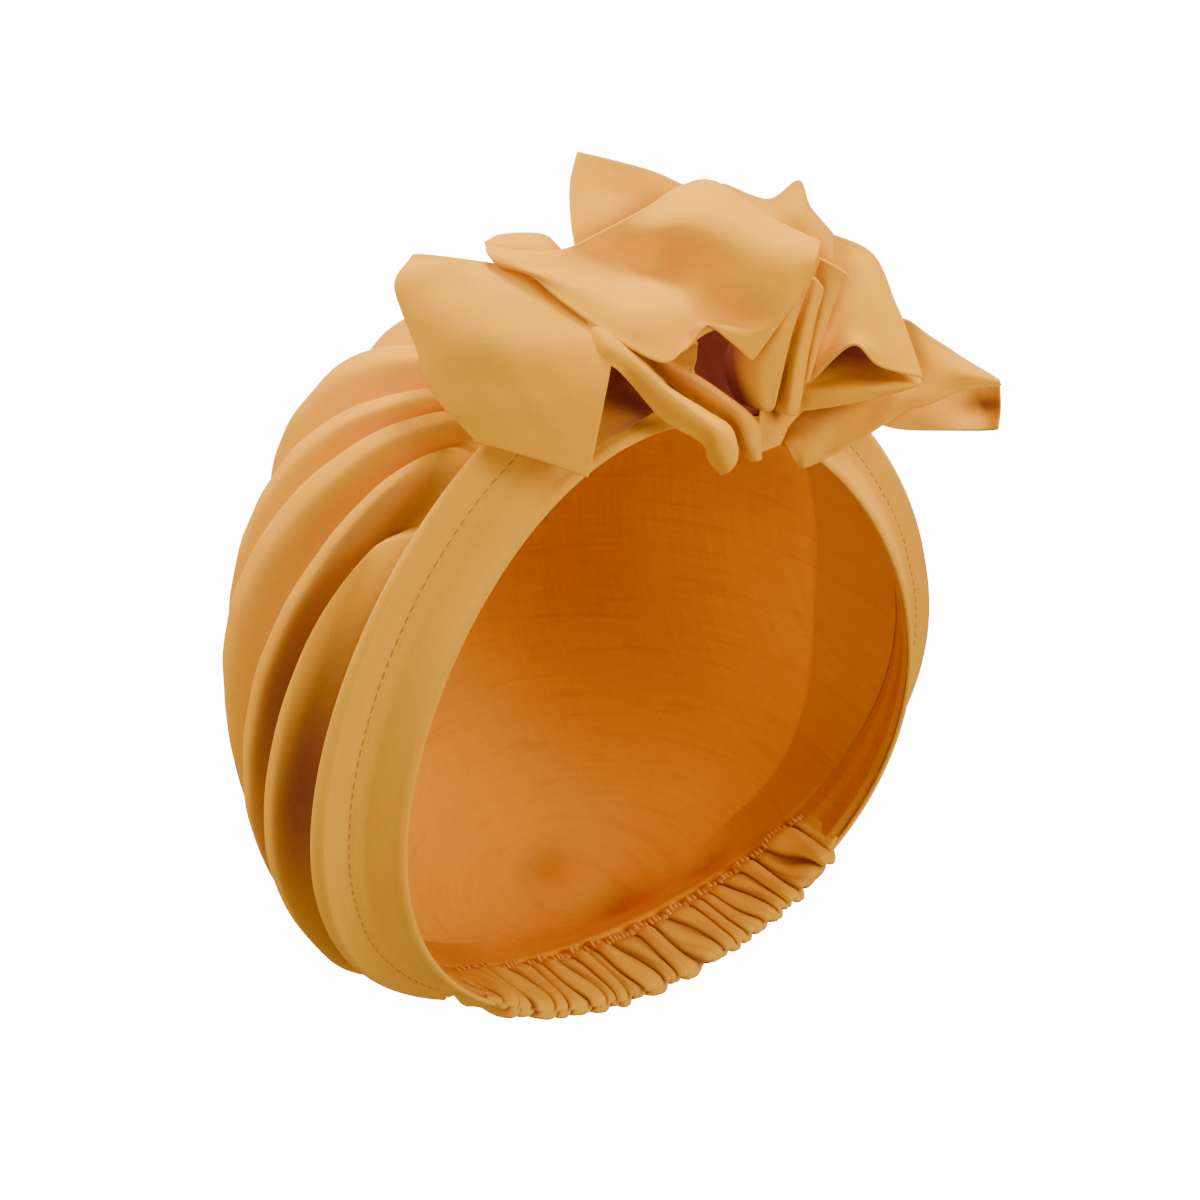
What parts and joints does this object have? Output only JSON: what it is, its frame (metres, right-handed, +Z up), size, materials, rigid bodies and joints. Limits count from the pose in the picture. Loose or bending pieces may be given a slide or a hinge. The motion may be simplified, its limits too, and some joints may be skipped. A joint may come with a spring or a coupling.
{
  "type": "turban hat",
  "caption": "Soft turban hat with a crown of deep folds running from brow to nape, a plain double hem, a gathered elastic nape and a bow of stacked cloth loops over the brow.",
  "frame": {"origin": "middle of the head opening, in the plane of the hat's rim, where the head fills it", "axes": "+Z up as the hat is worn, -Y the way the face looks, +X the wearer's left"},
  "size_m": [0.2091, 0.226, 0.2157],
  "materials": {
    "outer_cloth": "thin plain-woven mustard cloth, matt with a faint sheen on the folds",
    "hem_cloth": "the same mustard cloth doubled, pressed flat and stitched",
    "lining_cloth": "smooth orange plain-woven lining, matt, with uneven slubby threads"
  },
  "bodies": {
    "root": {"crown": "outer_cloth", "lining": "lining_cloth", "brow_band": "hem_cloth", "nape_gather": "hem_cloth", "bow_root": "outer_cloth", "bow_left_loop": "outer_cloth", "bow_left_fold": "outer_cloth", "bow_middle_fold": "outer_cloth", "bow_small_loop": "outer_cloth", "bow_top_loop": "outer_cloth", "bow_centre_swath": "outer_cloth", "bow_pleat_1": "outer_cloth", "bow_pleat_2": "outer_cloth", "bow_pleat_3": "outer_cloth", "bow_back_loop": "outer_cloth", "bow_right_loop": "outer_cloth", "bow_right_under": "outer_cloth", "bow_far_right_loop": "outer_cloth", "bow_far_right_back": "outer_cloth", "bow_petal": "outer_cloth"}
  },
  "joints": []
}
